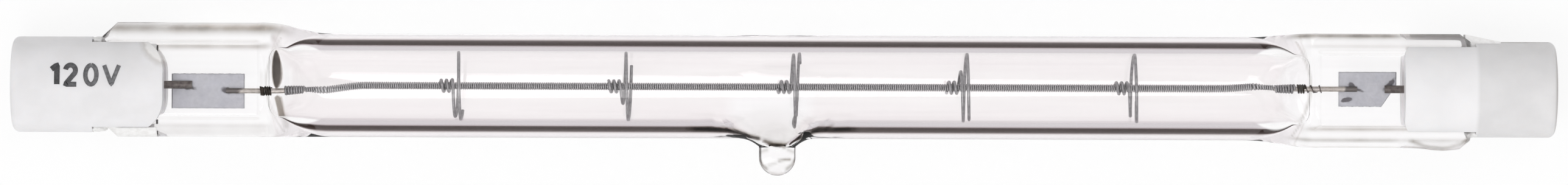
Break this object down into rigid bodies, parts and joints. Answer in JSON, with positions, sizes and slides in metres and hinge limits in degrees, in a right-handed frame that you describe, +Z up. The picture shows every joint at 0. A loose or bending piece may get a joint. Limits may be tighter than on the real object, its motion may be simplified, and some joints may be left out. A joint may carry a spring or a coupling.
{
  "type": "linear halogen bulb",
  "caption": "Double-ended linear halogen bulb: pinched quartz tube, straight filament on spiral supports, exhaust tip and slotted ceramic caps with recessed contacts.",
  "frame": {"origin": "on the axis of the quartz tube, half way between the outer ends of the two ceramic caps", "axes": "+X along the lamp towards the right cap, -Y towards the exhaust tip, +Z up as the lamp lies on its tube with the broad face of its pinches up and the tip level"},
  "size_m": [0.1176, 0.0115, 0.0078],
  "materials": {
    "quartz": "clear fused quartz",
    "ceramic": "fine-grained unglazed white steatite",
    "cement": "matt off-white cap cement",
    "contact": "turned nickel, satin",
    "molybdenum": "dull rolled molybdenum foil and wire",
    "tungsten": "drawn tungsten wire, dull grey"
  },
  "bodies": {
    "root": {"quartz_envelope": "quartz", "left_ceramic_cap": "ceramic", "left_cap_cement": "cement", "left_contact_button": "contact", "left_seal_foil": "molybdenum", "left_outer_lead": "molybdenum", "left_inner_lead": "molybdenum", "left_filament_spud": "tungsten", "right_ceramic_cap": "ceramic", "right_cap_cement": "cement", "right_contact_button": "contact", "right_seal_foil": "molybdenum", "right_outer_lead": "molybdenum", "right_inner_lead": "molybdenum", "right_filament_spud": "tungsten", "filament_coil": "tungsten", "filament_support_1": "tungsten", "filament_support_2": "tungsten", "filament_support_3": "tungsten", "filament_support_4": "tungsten", "filament_support_5": "tungsten"}
  },
  "joints": []
}
